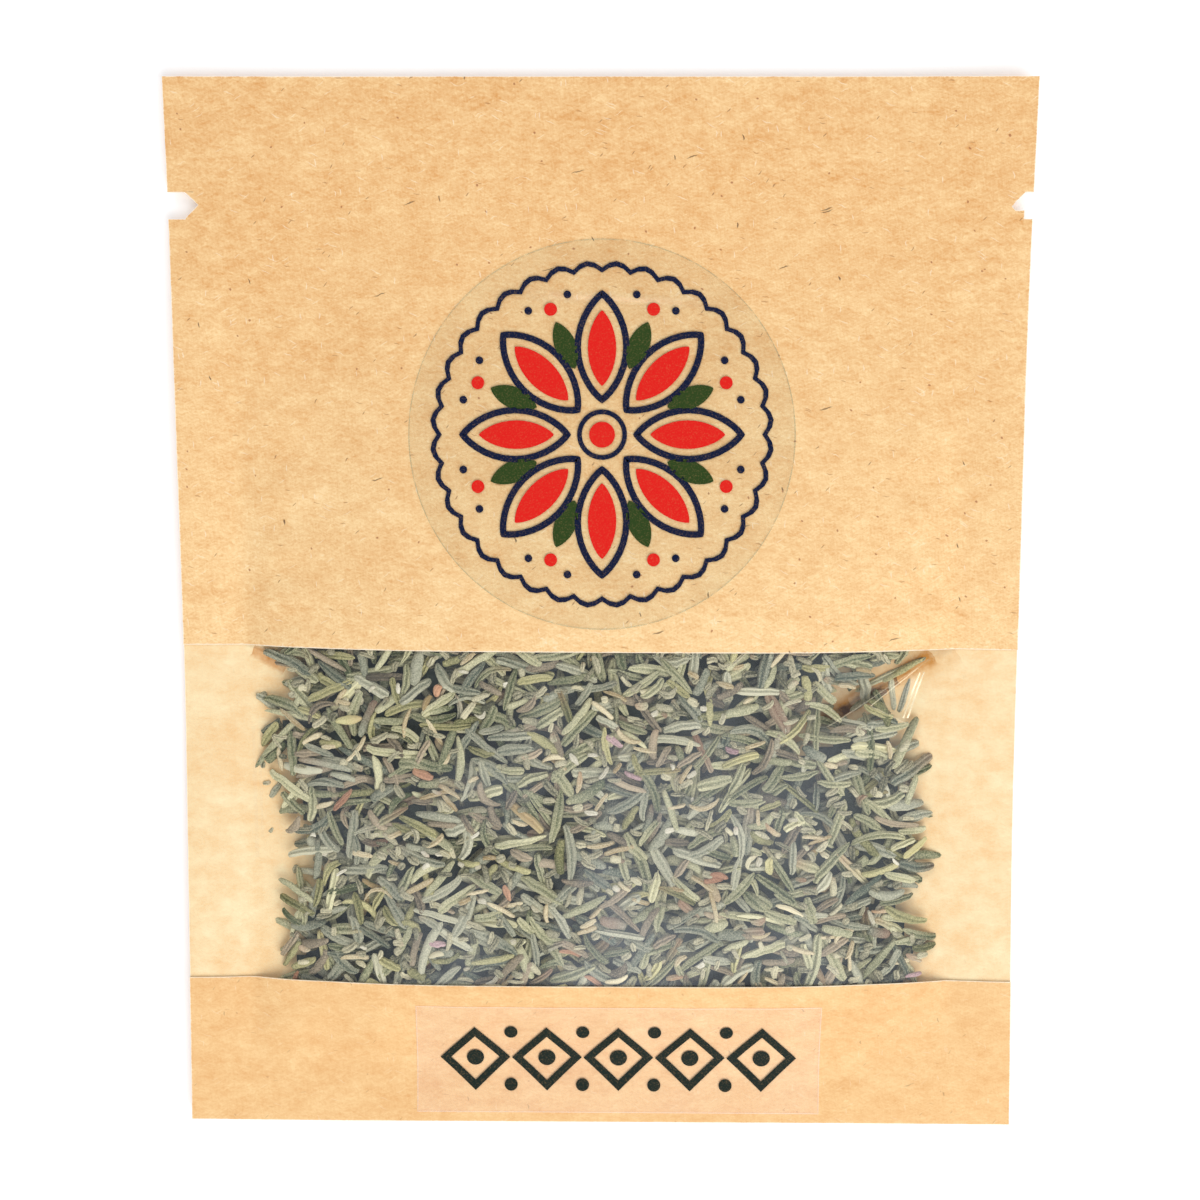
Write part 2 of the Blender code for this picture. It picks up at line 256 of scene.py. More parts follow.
def line_mask(finish, mm, start, end, half_width):
    """1 on a straight line between two places given in mm, fading to 0 at its sides."""
    run = Vector(end) - Vector(start)
    run_on, turned = run.normalized(), run.orthogonal().normalized()
    offset = node(finish, "VectorMath", {0: mm, 1: (*start, 0)}, operation="SUBTRACT").outputs[0]
    along = node(finish, "VectorMath", {0: offset, 1: (*run_on, 0)}, operation="DOT_PRODUCT").outputs[1]
    across = node(finish, "VectorMath", {0: offset, 1: (*turned, 0)}, operation="DOT_PRODUCT").outputs[1]
    away = node(finish, "Math", {0: across}, operation="ABSOLUTE").outputs[0]
    fades = {"Value": away, "From Min": half_width, "From Max": 0.5 * half_width}
    mask = node(finish, "MapRange", fades).outputs[0]
    for operation, limit in (("GREATER_THAN", 0.0), ("LESS_THAN", run.length)):
        held = node(finish, "Math", {0: along, 1: limit}, operation=operation).outputs[0]
        mask = node(finish, "Math", {0: mask, 1: held}, operation="MULTIPLY").outputs[0]
    return mask


def kraft_paper(name, shade, light, clearness=1.0, painted_light=0.0, painted_shade=()):
    """Unbleached kraft paper: matte and mottled, with a faint grain along the machine's run,
    short loose fibres, dark and pale, and a lighter core that shows along the cut edges, painted
    near white there as a painted highlight. The clearness is that of the fibres, painted_light is
    how much lighter the sheet is painted towards the window as painted light, and painted_shade
    lists lines of painted shade."""
    finish, shader = new_finish(name)
    mm = in_millimetres(finish)
    wander = node(finish, "TexNoise", {"Vector": mm, "Scale": 0.9, "Detail": 2.0}).outputs["Color"]
    strays = {0: wander, 1: (WANDER, WANDER, 0)}
    wander = node(finish, "VectorMath", strays, operation="MULTIPLY").outputs[0]
    bent = node(finish, "VectorMath", {0: mm, 1: wander}, operation="ADD").outputs[0]
    height = node(finish, "SeparateXYZ", {0: mm}).outputs[1]
    grains = [
        (turn, length, width, weight if width > 1 else weight * clearness)
        for turn, length, width, weight in GRAINS
    ]
    # Painted light: the tone rises towards the window, standing in for more light falling there
    painted_light_ramp = {"Value": height, "From Min": PAINTED_LIGHT_FROM, "From Max": PAINTED_LIGHT_TO, "To Max": painted_light}
    tone = node(finish, "MapRange", painted_light_ramp).outputs[0]
    middle = 0.5 - 0.5 * sum(weight for _, _, _, weight in grains)
    tone = node(finish, "Math", {0: tone, 1: middle}, operation="ADD").outputs[0]
    for turn, length, width, weight in grains:
        rotation = {"Vector": bent, "Angle": math.radians(turn)}
        turned = node(finish, "VectorRotate", rotation, rotation_type="Z_AXIS").outputs[0]
        stretch = {0: turned, 1: (1 / length, 1 / width, 1)}
        drawn = node(finish, "VectorMath", stretch, operation="MULTIPLY").outputs[0]
        grain = node(finish, "TexNoise", {"Vector": drawn, "Scale": 1.0, "Detail": 2.0}).outputs[0]
        tone = node(finish, "Math", {0: grain, 1: weight, 2: tone}, operation="MULTIPLY_ADD").outputs[0]
    upper = node(finish, "Attribute", {}, attribute_name="upper").outputs["Fac"]
    outer = {0: tone, 6: srgb(OUTER_SHADE), 7: srgb(OUTER_LIGHT)}
    outside = node(finish, "Mix", outer, data_type="RGBA").outputs[2]
    colour = node(finish, "Mix", {0: tone, 6: srgb(shade), 7: srgb(light)}, data_type="RGBA").outputs[2]
    colour = node(finish, "Mix", {0: upper, 6: outside, 7: colour}, data_type="RGBA").outputs[2]
    for turn, length, width, share, tint, strength in FLECKS:
        rotation = {"Vector": bent, "Angle": math.radians(turn)}
        turned = node(finish, "VectorRotate", rotation, rotation_type="Z_AXIS").outputs[0]
        cell = (2 * FLECK_PART / length, 2 * FLECK_PART / width, 0)
        cells = node(finish, "VectorMath", {0: turned, 1: cell}, operation="MULTIPLY").outputs[0]
        spots = node(finish, "TexVoronoi", {"Vector": cells, "Scale": 1.0}, voronoi_dimensions="2D")
        ranks = {"Value": spots.outputs["Distance"], "From Min": FLECK_PART, "From Max": 0.5 * FLECK_PART}
        spot = node(finish, "MapRange", ranks).outputs[0]
        lot = node(finish, "SeparateColor", {0: spots.outputs["Color"]}).outputs[0]
        held = node(finish, "Math", {0: lot, 1: share}, operation="LESS_THAN").outputs[0]
        mask = node(finish, "Math", {0: spot, 1: held}, operation="MULTIPLY").outputs[0]
        shown = strength * clearness**2
        mask = node(finish, "Math", {0: mask, 1: shown}, operation="MULTIPLY").outputs[0]
        colour = node(finish, "Mix", {0: mask, 6: colour, 7: srgb(tint)}, data_type="RGBA").outputs[2]
    # The painted shade comes in patches about 1 mm wide, on the upper face alone
    patches = {"Vector": mm, "Scale": 0.8, "Detail": 4.0, "Roughness": 0.65}
    patch = node(finish, "TexNoise", patches).outputs[0]
    patch = node(finish, "Math", {0: patch, 1: 2.2, 2: -0.3}, operation="MULTIPLY_ADD").outputs[0]
    patch = node(finish, "Math", {0: patch, 1: upper}, operation="MULTIPLY").outputs[0]
    # Lines of painted shade, brown and dark
    for start, end, half_width, strength, tint in painted_shade:
        mask = line_mask(finish, bent, start, end, half_width)
        mask = node(finish, "Math", {0: mask, 1: strength}, operation="MULTIPLY").outputs[0]
        mask = node(finish, "Math", {0: mask, 1: patch}, operation="MULTIPLY", use_clamp=True).outputs[0]
        colour = node(finish, "Mix", {0: mask, 6: colour, 7: srgb(tint)}, data_type="RGBA").outputs[2]
    cut = node(finish, "Attribute", {}, attribute_name="cut").outputs["Fac"]
    # The core shows in a ragged line along the cut, more where the pulp is pale, and is painted
    # near white there as a painted highlight where the cut edge catches the light
    rough_cut = node(finish, "Math", {0: tone, 1: 0.8, 2: cut}, operation="MULTIPLY_ADD").outputs[0]
    ragged = {"Value": rough_cut, "From Min": 0.8, "From Max": 1.2, "To Max": 0.75}
    core = node(finish, "MapRange", ragged).outputs[0]
    colour = node(finish, "Mix", {0: core, 6: colour, 7: srgb(EDGE_CORE_AND_HIGHLIGHT_TINT)}, data_type="RGBA").outputs[2]
    bump = node(finish, "Bump", {"Height": tone, "Strength": 0.3, "Distance": 0.02 * MM}).outputs[0]
    feed(finish, shader.inputs["Base Color"], colour)
    feed(finish, shader.inputs["Normal"], bump)
    shader.inputs["Roughness"].default_value = 0.72
    return finish


back_web = flat_web(BOTTOM, TOP, PAPER_STEP, True)
lay(back_web, table_lift, PAPER, CUT_RIM)
# Painted shade: the paper is painted brown and dark under the film's fold, where the fold shades
# it, and a little at the window's left corner. Ends and half width in mm, strength and colour
PAINTED_FOLD_SHADE = [
    ((24.5, -12.6), (42.0, -2.6), 3.4, 0.40, "#dca257"),
    ((25.4, -13.4), (39.8, -4.2), 1.4, 0.90, "#c9841e"),
    ((26.4, -12.9), (35.8, -7.2), 0.8, 0.95, "#57330a"),
    ((-41.0, -3.6), (-37.2, -5.8), 0.9, 0.80, "#cf8c42"),
]
back_kraft = kraft_paper("kraft paper, lined inner face, painted fold shade", "#ebb36c", "#fff2c6", 0.28, painted_shade=PAINTED_FOLD_SHADE)
add_piece("back_web", back_web, back_kraft, "kraft_back", "back_panel")


# The fill: loose dried thyme, rolled leaves 3 to 9 mm long with bits of stem, flower and crumbs.
# It is poured, and presses the film up. A core painted nearly black as painted shade stands for
# what can't be seen, and above it each leaf is dropped in turn and comes to rest on the ones
# below, under the film.
FILM = 0.06 * MM
SWELL = 5.6 * MM
SWELL_FOOT_RUN, SWELL_FOOT_SOFT, SWELL_FOOT_DROP = 20 * MM, 0.1, 0.01
SWELL_HEAD, SWELL_HEAD_RUN = -12 * MM, 62 * MM
# Pleats where the bulge meets the side seals and the foot seal: where they are highest, how far
# they reach, their pitch, and by how much and over what length that pitch wanders
PUCKER = 0.14 * MM
SIDE_PLEATS = (37.5 * MM, 3.2 * MM, 7.3 * MM, 2.2, 9 * MM)
FOOT_PLEATS = (-50.5 * MM, 3.5 * MM, 10.5 * MM, 1.7, 13 * MM)
SIDE_PLEATS_START = 1.3
PLEATED_RISE = 1.5 * MM
# The film's fold and the crease across its end: both ends in mm, half width in mm, height
FOLD = ((25.5, -12.9), (40.0, -4.2), 0.9, 0.55)
FOLD_CREASE = ((38.4, -5.2), (35.7, -13.4), 0.6, 0.35)
RIDGE_END = 2.5


def swell(x, y):
    """How far the fill holds the front web up from the back web. At the foot it rises from the
    seal in a soft curve."""
    across = np.maximum(0.0, 1 - (np.abs(x) / CHAMBER_HALF) ** 4)
    rise = (y - CHAMBER_FOOT) / SWELL_FOOT_RUN
    rise = 0.5 * (rise + np.hypot(rise, SWELL_FOOT_SOFT)) - SWELL_FOOT_DROP
    foot = 1 - (1 - np.clip(rise, 0.0, 1.0)) ** 2
    head = 1 - ease((y - SWELL_HEAD) / SWELL_HEAD_RUN)
    return SWELL * across * foot * head


def ridge(x, y, start, end, half_width):
    """A soft ridge 1 high along a line given in mm, running out at both ends."""
    (x0, y0), (x1, y1) = start, end
    length = math.hypot(x1 - x0, y1 - y0)
    along = ((x / MM - x0) * (x1 - x0) + (y / MM - y0) * (y1 - y0)) / length
    across = ((y / MM - y0) * (x1 - x0) - (x / MM - x0) * (y1 - y0)) / length
    ends = ease(along / RIDGE_END) * ease((length - along) / RIDGE_END)
    return ends * np.exp(-((across / half_width) ** 2))


def pleats(off, run, form, start=0.0):
    """Small waves along a seal, by the distance off the middle line and the run along the seal."""
    crest, reach, pitch, wander, wander_length = form
    near = np.exp(-(((off - crest) / reach) ** 2))
    return near * np.sin(math.tau * run / pitch + wander * np.sin(run / wander_length) + start)


def front_under(x, y):
    """Underside of the front web, with the small pleats where the bulge meets the seals."""
    rows = pleats(np.abs(x), y, SIDE_PLEATS, np.copysign(SIDE_PLEATS_START, x))
    columns = pleats(y, x, FOOT_PLEATS)
    lift = swell(x, y)
    held = np.clip(lift / PLEATED_RISE, 0.0, 1.0)
    folds = sum(height * ridge(x, y, *line) for *line, height in (FOLD, FOLD_CREASE))
    return table_lift(x, y) + PAPER + HAIR + lift + held * (PUCKER * (rows + columns) + folds * MM)


# Leaves are laid out in mm, on a fine height map of the pile under the window
CELL = 0.15
MAP_X = np.arange(-41.5, 41.5, CELL)
MAP_Y = np.arange(-49.0, 1.0, CELL)
CORE_DEPTH = 2.6  # from the film down to the core
CORE_MARGIN, CORE_RUN = 1.5, 4  # where the core starts inside the pile, and how far it climbs
FILM_ROOM, PAPER_ROOM = 0.05, 0.02
# The pile's ragged edges: where each lies, the bays in it (depth, height and half height of
# each), and the size, pitch and start of its small waves
LEFT_EDGE = (-39.2, ((2.4, -6, 5), (4.4, -30, 8)), 0.6, 1.7, 0)
RIGHT_EDGE = (38.9, ((-4.6, -10, 7.5), (-1.8, -33, 3)), 0.6, 1.3, 1)
# Under the film's fold few leaves lie: middle, turn and half lengths of that gap
GAP_MIDDLE, GAP_TURN, GAP_HALVES = (33.8, -7.4), math.radians(33), (9.8, 2.4)


def edge_at(y, line, bays, wave, pitch, start):
    """Where one side edge of the pile lies at a height."""
    for depth, middle, half in bays:
        line = line + depth * np.exp(-(((y - middle) / half) ** 2))
    return line + wave * np.sin(y / pitch + start)


def inside_pile(x, y):
    """How far in from the pile's ragged edge a point lies, in mm. Negative is outside."""
    u, v = x - GAP_MIDDLE[0], y - GAP_MIDDLE[1]
    along = (u * math.cos(GAP_TURN) + v * math.sin(GAP_TURN)) / GAP_HALVES[0]
    across = (v * math.cos(GAP_TURN) - u * math.sin(GAP_TURN)) / GAP_HALVES[1]
    gap = (np.hypot(along, across) - 1) * GAP_HALVES[1]
    return np.minimum(np.minimum(x - edge_at(y, *LEFT_EDGE), edge_at(y, *RIGHT_EDGE) - x), gap)


def floor_at(x, y):
    """Upper face of the back web, in mm."""
    return (table_lift(x * MM, y * MM) + PAPER) / MM


def roof_at(x, y):
    """How high leaves may reach under the film, in mm."""
    return front_under(x * MM, y * MM) / MM - FILM_ROOM


def core_at(x, y):
    """Top of the core: deep under the film, and down to the back web near the pile's edge."""
    share = ease((inside_pile(x, y) - CORE_MARGIN) / CORE_RUN)
    floor = floor_at(x, y)
    return floor + share * np.maximum(0.0, roof_at(x, y) - CORE_DEPTH - floor)


# Share of what is dropped, ranges of length, width and thickness in mm, groove's depth
KINDS = {
    "sage": (0.34, (3.2, 8.6), (0.85, 1.40), (0.60, 0.85), 0.65),
    "grey": (0.27, (3.2, 8.2), (0.85, 1.45), (0.60, 0.85), 0.50),
    "olive": (0.07, (2.8, 7.4), (0.80, 1.25), (0.55, 0.80), 0.65),
    "mauve": (0.065, (2.6, 6.6), (0.75, 1.20), (0.50, 0.75), 0.45),
    "rust": (0.0035, (2.0, 4.8), (0.65, 1.05), (0.40, 0.60), 0.25),
    "straw": (0.020, (1.8, 4.8), (0.50, 0.75), (0.40, 0.65), 0.10),
    "crumb": (0.07, (1.0, 2.8), (0.50, 1.00), (0.35, 0.60), 0.40),
    "pale": (0.006, (0.8, 2.0), (0.40, 0.75), (0.30, 0.50), 0.20),
    "bloom": (0.001, (1.6, 3.8), (0.55, 0.90), (0.40, 0.60), 0.20),
}
# At the fold, and where the pile has shed: leaves and crumbs whose places show. Kind, middle,
# turn in degrees, length, width
PLACED = [
    ("sage", 34.6, -6.9, 27, 9.4, 0.80),
    ("olive", 36.0, -6.3, 31, 5.6, 0.75),
    ("crumb", 30.9, -10.6, 38, 2.6, 0.80),
    ("crumb", 33.2, -9.3, 20, 2.2, 0.90),
    ("crumb", 28.1, -12.3, 60, 1.5, 0.70),
    ("sage", 33.8, -10.8, -62, 4.8, 0.95),
    ("grey", 34.9, -9.2, -82, 4.2, 0.75),
    ("grey", 36.3, -9.4, 74, 4.4, 0.70),
    ("crumb", -40.2, -9.2, 35, 0.9, 0.60),
    ("crumb", -40.4, -17.8, 80, 0.8, 0.55),
    ("crumb", -40.0, -20.0, 10, 1.0, 0.60),
    ("grey", -39.0, -20.9, 55, 2.2, 0.75),
    ("grey", -37.3, -23.4, -8, 2.0, 0.80),
    ("crumb", -39.6, -25.8, 50, 0.7, 0.45),
    ("crumb", -36.8, -30.7, 75, 1.1, 0.70),
    ("crumb", -36.5, -33.0, 85, 1.0, 0.80),
]
DROPS = 32000
LATE, LATE_SIZE = 0.6, 0.75  # share of the drops after which only smaller bits find room
STRAIGHT, STRAIGHT_BEND, CROOKED_BEND = 0.8, 0.05, 0.15
ANY_TURN, LEVEL_TURN = 0.7, 0.45  # share that lies at any turn, spread of the rest about level
EDGE_SHARE, EDGE_CHANCE = 0.25, 0.6  # near an edge by this share of its length, a leaf may stay
STRAY_REACH, STRAY_CHANCE = 2.2, 0.006
SAMPLES = np.linspace(-0.42, 0.42, 7)  # parts of its length where a leaf feels for the pile
SAMPLE_ROWS = np.array([[-0.3], [0.0], [0.3]])
STEEPEST = 0.5
REST_SHARE, DOME_SHARE = 0.42, 0.45  # parts of its thickness below a leaf's middle and above
SINK = 0.10
BLUNT = 0.36
BEND_MIDDLE = 0.3

draw = np.random.default_rng(7)
map_x, map_y = np.meshgrid(MAP_X, MAP_Y)
pile = core_at(map_x, map_y)
roof = roof_at(map_x, map_y)


def map_index(x, y):
    """Row and column of a place on the height map."""
    column = np.clip(((x - MAP_X[0]) / CELL).astype(int), 0, len(MAP_X) - 1)
    row = np.clip(((y - MAP_Y[0]) / CELL).astype(int), 0, len(MAP_Y) - 1)
    return row, column


def aside(part, bend, length):
    """How far a bent leaf's middle line lies aside, at a part from -1 to 1 along it."""
    return bend * length * (part**2 - BEND_MIDDLE)


def settle(x, y, turn, length, width, thick, bend):
    """Height of the middle and slope of a leaf at rest on the pile, or None if the film leaves
    it no room."""
    along = SAMPLES * length
    across = SAMPLE_ROWS * width + aside(2 * SAMPLES, bend, length)
    c, s = math.cos(turn), math.sin(turn)
    spot = map_index(x + along * c - across * s, y + along * s + across * c)
    bed = pile[spot].max(axis=0)
    left, right = along[:3, None], along[None, 4:]
    slopes = (bed[None, 4:] - bed[:3, None]) / (right - left)
    middles = bed[:3, None] - slopes * left
    best = np.unravel_index(middles.argmax(), middles.shape)
    slope, middle = slopes[best], middles[best]
    if bed[3] > middle:
        slope, middle = 0.6 * slope, bed[3]
    height = middle + REST_SHARE * thick - SINK
    limit = roof[spot].min(axis=0) - 0.5 * thick - height
    if limit[3] < 0:
        return None
    most = (limit[4:] / along[4:]).min()
    least = (limit[:3] / along[:3]).max()
    if least > most:
        return None
    slope = min(max(slope, least), most)
    return (height, slope) if abs(slope) < STEEPEST else None


def stamp(x, y, turn, length, width, thick, bend, height, slope):
    """Raises the pile's height map to the top of a leaf that has come to rest."""
    reach = 0.5 * length + CELL
    (row0, column0), (row1, column1) = (
        map_index(np.array(x + way * reach), np.array(y + way * reach)) for way in (-1, 1)
    )
    rows, columns = slice(row0, row1 + 1), slice(column0, column1 + 1)
    u, v = map_x[rows, columns] - x, map_y[rows, columns] - y
    along = u * math.cos(turn) + v * math.sin(turn)
    part = np.clip(2 * along / length, -1, 1)
    across = v * math.cos(turn) - u * math.sin(turn) - aside(part, bend, length)
    half = 0.5 * width * np.maximum(1e-6, 1 - part**2) ** BLUNT
    dome = 1 - (across / half) ** 2
    top = height + slope * along + DOME_SHARE * thick * np.sqrt(np.maximum(dome, 0))
    inside = (dome > 0) & (np.abs(along) < 0.5 * length)
    block = pile[rows, columns]
    block[inside] = np.maximum(block, top)[inside]


def lay_leaf(name, *leaf):
    """Lets one leaf come to rest, if there is room for it under the film."""
    rest = settle(*leaf)
    if rest is not None:
        stamp(*leaf, *rest)
        laid[name].append((*leaf, *rest))


names = list(KINDS)
shares = np.array([KINDS[name][0] for name in names])
laid = {name: [] for name in names}
for name, x, y, turn, length, width in PLACED:
    lay_leaf(name, x, y, math.radians(turn), length, width, 0.5 * width, 0.0)
for drop in range(DROPS):
    name = names[draw.choice(len(names), p=shares / shares.sum())]
    _, (shortest, longest), widths, thicks, _ = KINDS[name]
    late = LATE_SIZE if drop > LATE * DROPS else 1.0
    length = (shortest + (longest - shortest) * draw.beta(1.6, 2.2)) * late
    width, thick = draw.uniform(*widths), draw.uniform(*thicks)
    bend = draw.normal(0, STRAIGHT_BEND if draw.random() < STRAIGHT else CROOKED_BEND)
    x, y = draw.uniform(-41, 41), draw.uniform(-48.5, 0.5)
    turn = draw.uniform(0, math.pi) if draw.random() < ANY_TURN else draw.normal(0, LEVEL_TURN)
    room, lot = inside_pile(x, y), draw.random()
    chance = EDGE_CHANCE if room > 0 else STRAY_CHANCE if room > -STRAY_REACH else 0.0
    if room >= EDGE_SHARE * length or lot <= chance:
        lay_leaf(name, x, y, turn, length, width, thick, bend)

# A rolled leaf has eight sides. Seen from the end and counted round from underneath the left
# margin: how far across and up each corner lies, and how pale it is, pale at the rolled margins
# and painted dark in the groove as painted shade
ROLL_ANGLES = (-180, -135, -90, -45, 0, 45, 90, 135, 180)
ROLL_ACROSS = (-1.0, -0.72, 0.0, 0.72, 1.0, 0.50, 0.0, -0.50, -1.0)
ROLL_UP = (0.0, -0.8, -1.0, -0.8, 0.0, 1.0, 1.0, 1.0, 0.0)
ROLL_PALE_AND_SHADE = (0.75, 0.55, 0.75, 0.55, 0.75, 0.95, 0.15, 0.95, 0.75)
END_POWERS, END_SHARES = [0.16, 0.30, 0.48], [0.4, 0.4, 0.2]  # blunt, round and pointed ends
# Spread of a leaf's size from ring to ring, of its middle line, roll, twist and arch
UNEVEN, WOBBLY, ROLLED, TWISTED, ARCHED = 0.06, 0.035, 0.3, 0.3, 0.02
UPSIDE_DOWN = 0.25  # share of the leaves
leaf_form = bmesh.new()
pole_to_x = Matrix.Rotation(math.pi / 2, 4, "Y")
bmesh.ops.create_uvsphere(leaf_form, u_segments=8, v_segments=8, radius=1.0, matrix=pole_to_x)
leaf_mesh = bpy.data.meshes.new("rolled leaf")
leaf_form.to_mesh(leaf_mesh)
leaf_form.free()
corners = np.array([vert.co for vert in leaf_mesh.vertices])
part_along = corners[:, 0]
corner_angle = np.degrees(np.arctan2(np.round(corners[:, 2], 4), np.round(corners[:, 1], 4)))
_, ring_of = np.unique(np.round(part_along, 3), return_inverse=True)


def leaf_points(places, groove):
    """The points of leaves, each bent, twisted and rolled by chance, where they came to rest."""
    x, y, turn, length, width, thick, bend, height, slope = np.array(places).T[:, :, None]
    count = len(places)
    rings = ring_of.max() + 1
    powers = draw.choice(END_POWERS, (count, 2), p=END_SHARES)
    power = np.where(part_along < 0, powers[:, :1], powers[:, 1:])
    size = np.maximum(1e-9, 1 - part_along**2) ** power
    size = size * draw.normal(1, UNEVEN, (count, rings))[:, ring_of]
    size[:, np.abs(part_along) > 0.999] = 0.0
    up = np.interp(corner_angle, ROLL_ANGLES, ROLL_UP)
    up = up - groove * (np.abs(corner_angle - 90) < 1)
    across = 0.5 * width * size * np.interp(corner_angle, ROLL_ANGLES, ROLL_ACROSS)
    up = 0.5 * thick * size * up
    roll = draw.normal(0, ROLLED, (count, 1)) + math.pi * (draw.random((count, 1)) < UPSIDE_DOWN)
    roll = roll + draw.normal(0, TWISTED, (count, 1)) * part_along
    across, up = across * np.cos(roll) - up * np.sin(roll), across * np.sin(roll) + up * np.cos(roll)
    across = across + aside(part_along, bend, length)
    across = across + WOBBLY * width * draw.normal(0, 1, (count, rings))[:, ring_of]
    up = up - np.abs(draw.normal(0, ARCHED, (count, 1))) * length * (part_along**2 - BEND_MIDDLE)
    along = 0.5 * length * part_along
    level = 1 / np.hypot(1, slope)
    forward = along * level - up * slope * level
    px = x + forward * np.cos(turn) - across * np.sin(turn)
    py = y + forward * np.sin(turn) + across * np.cos(turn)
    pz = height + along * slope * level + up * level
    highest = roof_at(px, py) + 0.6 * FILM_ROOM
    pz = np.maximum(floor_at(px, py) + PAPER_ROOM, np.minimum(pz, highest))
    return np.stack((px, py, pz), axis=-1).reshape(-1, 3)


PALE_AND_SHADE_WEIGHT, FELT_WEIGHT = 0.44, 1.8
DARKEST, LIGHTEST = 0.73, 1.73
RUST_TINT = "#a4694b"


def dry_leaf(name, dark, light):
    """Dried leaf: matte, each its own tone, pale along the rolled margins and painted dark in the
    groove as painted shade, with a felt of short hairs and here and there a rusty end. The felt's
    tufts are drawn about 0.17 mm wide, coarser than real ones, so that they show."""
    finish, shader = new_finish(name)
    mm = in_millimetres(finish)
    tone = node(finish, "Attribute", {}, attribute_name="tone").outputs["Fac"]
    # The pale attribute holds the pale margins and the painted shade in the groove
    pale = node(finish, "Attribute", {}, attribute_name="pale").outputs["Fac"]
    rusty = node(finish, "Attribute", {}, attribute_name="rusty").outputs["Fac"]
    tufts = {"Vector": mm, "Scale": 6.0, "Detail": 3.0, "Roughness": 0.7}
    felt = node(finish, "TexNoise", tufts).outputs[0]
    value = node(finish, "Math", {0: pale, 1: PALE_AND_SHADE_WEIGHT, 2: tone}, operation="MULTIPLY_ADD").outputs[0]
    value = node(finish, "Math", {0: felt, 1: FELT_WEIGHT, 2: value}, operation="MULTIPLY_ADD").outputs[0]
    value = node(finish, "MapRange", {"Value": value, "From Min": DARKEST, "From Max": LIGHTEST}).outputs[0]
    colour = node(finish, "Mix", {0: value, 6: srgb(dark), 7: srgb(light)}, data_type="RGBA").outputs[2]
    colour = node(finish, "Mix", {0: rusty, 6: colour, 7: srgb(RUST_TINT)}, data_type="RGBA").outputs[2]
    bump = node(finish, "Bump", {"Height": felt, "Strength": 0.8, "Distance": 0.06 * MM}).outputs[0]
    feed(finish, shader.inputs["Base Color"], colour)
    feed(finish, shader.inputs["Normal"], bump)
    shader.inputs["Roughness"].default_value = 0.8
    return finish


# Each kind's colour in its dark and its light places
LEAF_COLOURS = {
    "sage": ("#4b5531", "#e5deb2"),
    "grey": ("#434f3e", "#d6d1b2"),
    "olive": ("#57592a", "#e0d69c"),
    "mauve": ("#524a38", "#cdb998"),
    "rust": ("#8a5a3c", "#dcaa84"),
    "straw": ("#a08758", "#f4e6be"),
    "crumb": ("#4a4a30", "#e2d8b2"),
    "pale": ("#b4ab8c", "#f6efd8"),
    "bloom": ("#79585a", "#dcbab8"),
}
TONE_SPREAD, TONE_SLANT = 0.20, 0.09
RUST_MEAN, RUST_SPREAD, RUST_SLANT, RUST_MOST = -0.68, 0.42, 0.28, 0.45
for name, places in laid.items():
    groove = KINDS[name][4]
    bm = bmesh.new()
    for _ in places:
        bm.from_mesh(leaf_mesh)
    for vert, point in zip(bm.verts, leaf_points(places, groove) * MM):
        vert.co = point
    bmesh.ops.recalc_face_normals(bm, faces=bm.faces)
    leaf_finish = dry_leaf(f"dried thyme, {name}", *LEAF_COLOURS[name])
    piece = add_piece(f"thyme_{name}", bm, leaf_finish, "dried_thyme")
    each = (len(places), 1)
    pale_and_shade = np.tile(np.interp(corner_angle, ROLL_ANGLES, ROLL_PALE_AND_SHADE), each)
    tones = draw.normal(0, TONE_SPREAD, each) + draw.normal(0, TONE_SLANT, each) * part_along
    ends = np.clip(draw.normal(RUST_MEAN, RUST_SPREAD, each) + RUST_SLANT * part_along, 0, RUST_MOST)
    for key, values in (("tone", tones), ("pale", pale_and_shade), ("rusty", ends)):
        layer = piece.data.attributes.new(key, "FLOAT", "POINT")
        layer.data.foreach_set("value", values.ravel().astype(np.float32))

# The core: dust and broken leaf, matte, painted nearly black as painted shade of the pile's
# depths between the leaves
CORE_EDGE = 1.8  # how far inside the pile its side lies, in mm
CORE_SUNK, CORE_LUMPS, CORE_ROOM = 0.15, 0.25, 0.05
fill_low, fill_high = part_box("leaf_fill")
core = bmesh.new()
bmesh.ops.create_grid(core, x_segments=70, y_segments=64, size=0.5)
for vert in core.verts:
    vert.co.x *= fill_high.x - fill_low.x
    vert.co.y = fill_low.y + (vert.co.y + 0.5) * (fill_high.y - fill_low.y)
outside = [face for face in core.faces if inside_pile(*(face.calc_center_median().xy / MM)) < CORE_EDGE]
bmesh.ops.delete(core, geom=outside, context="FACES")
core_raised = bmesh.ops.extrude_face_region(core, geom=core.faces[:])["geom"]
core_top = {part for part in core_raised if isinstance(part, bmesh.types.BMVert)}
for vert in core.verts:
    x, y = vert.co.xy / MM
    top = core_at(x, y) - CORE_SUNK + CORE_LUMPS * math.sin(3.1 * x + 1.3 * y) * math.sin(2.3 * y - x)
    foot = floor_at(x, y) + CORE_ROOM
    vert.co.z = (max(top, foot + CORE_ROOM) if vert in core_top else foot) * MM
bmesh.ops.recalc_face_normals(core, faces=core.faces)
core_finish, core_shader = new_finish("thyme dust, painted shade")
grit = {"Vector": in_millimetres(core_finish), "Scale": 1.6, "Detail": 6.0}
dust = node(core_finish, "TexNoise", grit).outputs[0]
